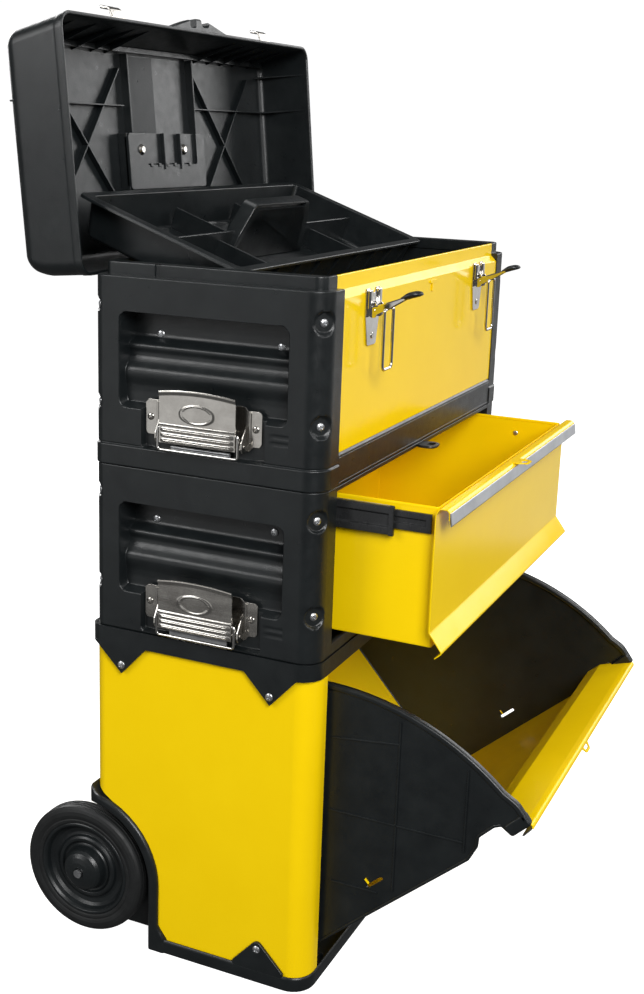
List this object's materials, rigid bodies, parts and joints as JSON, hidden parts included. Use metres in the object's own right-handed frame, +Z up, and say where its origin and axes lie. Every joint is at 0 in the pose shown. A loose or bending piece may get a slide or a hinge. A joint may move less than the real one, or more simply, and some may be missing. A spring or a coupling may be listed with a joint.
{
  "type": "rolling tool box",
  "caption": "Tall rolling tool box: wheeled base with a tilting bin, a drawer unit and a lidded top box with a tote tray, stacked and latched, with a pull handle.",
  "frame": {"origin": "on the ground under the middle of the closed cabinet's footprint", "axes": "+X to the right when facing the front, +Y to the back, +Z up"},
  "size_m": [0.4988, 0.4941, 0.8394],
  "materials": {
    "black_plastic": "fine grained, satin",
    "yellow_steel": "gloss powder coat",
    "tyre_rubber": "matt",
    "aluminium_strip": "satin anodised",
    "rail_steel": "semi-gloss black",
    "zinc_steel": "zinc plated",
    "chrome_steel": "bright plated"
  },
  "bodies": {
    "base": {"base_tray": "black_plastic", "base_side_left": "yellow_steel", "base_side_right": "yellow_steel", "base_back": "yellow_steel", "base_top_frame": "black_plastic", "wheel_axle": "zinc_steel", "bin_pins": "zinc_steel", "base_screws": "zinc_steel", "base_catches": "zinc_steel", "handle_sleeves": "zinc_steel"},
    "wheel_left": {"tyre_left": "tyre_rubber", "wheel_hub_left": "black_plastic"},
    "wheel_right": {"tyre_right": "tyre_rubber", "wheel_hub_right": "black_plastic"},
    "pull_handle": {"handle_tubes": "chrome_steel", "handle_grip": "black_plastic"},
    "bin": {"bin_side_left": "black_plastic", "bin_side_right": "black_plastic", "bin_sheet": "yellow_steel", "bin_handle_strip": "aluminium_strip"},
    "drawer_unit": {"mid_end_left": "black_plastic", "mid_end_right": "black_plastic", "mid_case": "black_plastic", "fixed_rails": "rail_steel", "mid_screws": "zinc_steel", "mid_catches": "zinc_steel", "mid_latch_plates": "chrome_steel"},
    "drawer": {"drawer_box": "yellow_steel", "drawer_front": "yellow_steel", "drawer_handle_strip": "aluminium_strip", "drawer_rails": "rail_steel"},
    "rail_left": {"middle_rail_left": "rail_steel"},
    "rail_right": {"middle_rail_right": "rail_steel"},
    "top_box": {"top_end_left": "black_plastic", "top_end_right": "black_plastic", "top_floor": "black_plastic", "top_front_panel": "yellow_steel", "top_back_panel": "yellow_steel", "lid_hinge": "zinc_steel", "top_screws": "zinc_steel", "top_latch_plates": "chrome_steel", "front_latch_plates": "chrome_steel"},
    "lid": {"lid_shell": "black_plastic", "lid_bracket": "black_plastic", "lid_ribs": "black_plastic", "lid_fittings": "chrome_steel"},
    "lid_handle": {"lid_handle": "black_plastic"},
    "tray": {"tote_tray": "black_plastic"},
    "front_lever_left": {"front_lever_left": "chrome_steel"},
    "front_bail_left": {"front_bail_left": "chrome_steel"},
    "front_lever_right": {"front_lever_right": "chrome_steel"},
    "front_bail_right": {"front_bail_right": "chrome_steel"},
    "top_lever_left": {"top_lever_left": "chrome_steel"},
    "top_bail_left": {"top_bail_left": "chrome_steel"},
    "top_lever_right": {"top_lever_right": "chrome_steel"},
    "top_bail_right": {"top_bail_right": "chrome_steel"},
    "mid_lever_left": {"mid_lever_left": "chrome_steel"},
    "mid_bail_left": {"mid_bail_left": "chrome_steel"},
    "mid_lever_right": {"mid_lever_right": "chrome_steel"},
    "mid_bail_right": {"mid_bail_right": "chrome_steel"}
  },
  "joints": [
    {"name": "wheel_spin_left", "type": "hinge", "parent": "base", "child": "wheel_left", "pos_m": [-0.225, 0.122, 0.0625], "axis": [1, 0, 0], "continuous": true},
    {"name": "wheel_spin_right", "type": "hinge", "parent": "base", "child": "wheel_right", "pos_m": [0.225, 0.122, 0.0625], "axis": [1, 0, 0], "continuous": true},
    {"name": "pull_handle_slide", "type": "slide", "parent": "base", "child": "pull_handle", "axis": [0, 0, 1], "range_m": [0, 0.15]},
    {"name": "bin_tilt", "type": "hinge", "parent": "base", "child": "bin", "pos_m": [0, -0.1, 0.04], "axis": [1, 0, 0], "range_deg": [-48.4, 0]},
    {"name": "drawer_unit_lift", "type": "slide", "parent": "base", "child": "drawer_unit", "axis": [0, 0, 1], "range_m": [0, 0.12]},
    {"name": "drawer_slide", "type": "slide", "parent": "drawer_unit", "child": "drawer", "axis": [0, -1, 0], "range_m": [-0.087, 0.08]},
    {"name": "rail_slide_left", "type": "slide", "parent": "drawer_unit", "child": "rail_left", "axis": [0, -1, 0], "range_m": [-0.054, 0.05]},
    {"name": "rail_slide_right", "type": "slide", "parent": "drawer_unit", "child": "rail_right", "axis": [0, -1, 0], "range_m": [-0.054, 0.05]},
    {"name": "top_box_lift", "type": "slide", "parent": "drawer_unit", "child": "top_box", "axis": [0, 0, 1], "range_m": [0, 0.12]},
    {"name": "lid_hinge_turn", "type": "hinge", "parent": "top_box", "child": "lid", "pos_m": [0, 0.11, 0.613], "axis": [1, 0, 0], "range_deg": [0, 95.3]},
    {"name": "tray_slide", "type": "slide", "parent": "top_box", "child": "tray", "axis": [0, -0.9415, -0.3371], "range_m": [0, 0.081]},
    {"name": "lid_handle_fold", "type": "hinge", "parent": "lid", "child": "lid_handle", "pos_m": [0, 0.19633, 0.71546], "axis": [1, 0, 0], "range_deg": [0, 90]},
    {"name": "front_lever_turn_left", "type": "hinge", "parent": "top_box", "child": "front_lever_left", "pos_m": [-0.146, -0.112, 0.597], "axis": [1, 0, 0], "range_deg": [0, 86]},
    {"name": "front_bail_swing_left", "type": "hinge", "parent": "front_lever_left", "child": "front_bail_left", "pos_m": [-0.146, -0.122, 0.598], "axis": [1, 0, 0], "range_deg": [-270, 0]},
    {"name": "front_lever_turn_right", "type": "hinge", "parent": "top_box", "child": "front_lever_right", "pos_m": [0.14, -0.112, 0.597], "axis": [1, 0, 0], "range_deg": [0, 86]},
    {"name": "front_bail_swing_right", "type": "hinge", "parent": "front_lever_right", "child": "front_bail_right", "pos_m": [0.14, -0.122, 0.598], "axis": [1, 0, 0], "range_deg": [-270, 0]},
    {"name": "top_latch_turn_left", "type": "hinge", "parent": "top_box", "child": "top_lever_left", "pos_m": [-0.242, 0, 0.489], "axis": [0, -1, 0], "range_deg": [0, 100]},
    {"name": "top_bail_swing_left", "type": "hinge", "parent": "top_lever_left", "child": "top_bail_left", "pos_m": [-0.2455, 0, 0.498], "axis": [0, -1, 0], "range_deg": [-100, 0]},
    {"name": "top_latch_turn_right", "type": "hinge", "parent": "top_box", "child": "top_lever_right", "pos_m": [0.242, 0, 0.489], "axis": [0, 1, 0], "range_deg": [0, 100]},
    {"name": "top_bail_swing_right", "type": "hinge", "parent": "top_lever_right", "child": "top_bail_right", "pos_m": [0.2455, 0, 0.498], "axis": [0, 1, 0], "range_deg": [-100, 0]},
    {"name": "mid_latch_turn_left", "type": "hinge", "parent": "drawer_unit", "child": "mid_lever_left", "pos_m": [-0.242, 0, 0.3255], "axis": [0, -1, 0], "range_deg": [0, 100]},
    {"name": "mid_bail_swing_left", "type": "hinge", "parent": "mid_lever_left", "child": "mid_bail_left", "pos_m": [-0.2455, 0, 0.3345], "axis": [0, -1, 0], "range_deg": [-100, 0]},
    {"name": "mid_latch_turn_right", "type": "hinge", "parent": "drawer_unit", "child": "mid_lever_right", "pos_m": [0.242, 0, 0.3255], "axis": [0, 1, 0], "range_deg": [0, 100]},
    {"name": "mid_bail_swing_right", "type": "hinge", "parent": "mid_lever_right", "child": "mid_bail_right", "pos_m": [0.2455, 0, 0.3345], "axis": [0, 1, 0], "range_deg": [-100, 0]}
  ],
  "couplings": [
    {"joint": "rail_slide_left", "follows": "drawer_slide", "ratio": 0.62},
    {"joint": "rail_slide_right", "follows": "drawer_slide", "ratio": 0.62},
    {"joint": "tray_slide", "follows": "lid_hinge_turn", "m_per_rad": 0.048097},
    {"joint": "front_bail_swing_left", "follows": "front_lever_turn_left", "ratio": -3.1},
    {"joint": "front_bail_swing_right", "follows": "front_lever_turn_right", "ratio": -3.1},
    {"joint": "top_bail_swing_left", "follows": "top_latch_turn_left", "ratio": -1},
    {"joint": "top_bail_swing_right", "follows": "top_latch_turn_right", "ratio": -1},
    {"joint": "mid_bail_swing_left", "follows": "mid_latch_turn_left", "ratio": -1},
    {"joint": "mid_bail_swing_right", "follows": "mid_latch_turn_right", "ratio": -1}
  ]
}
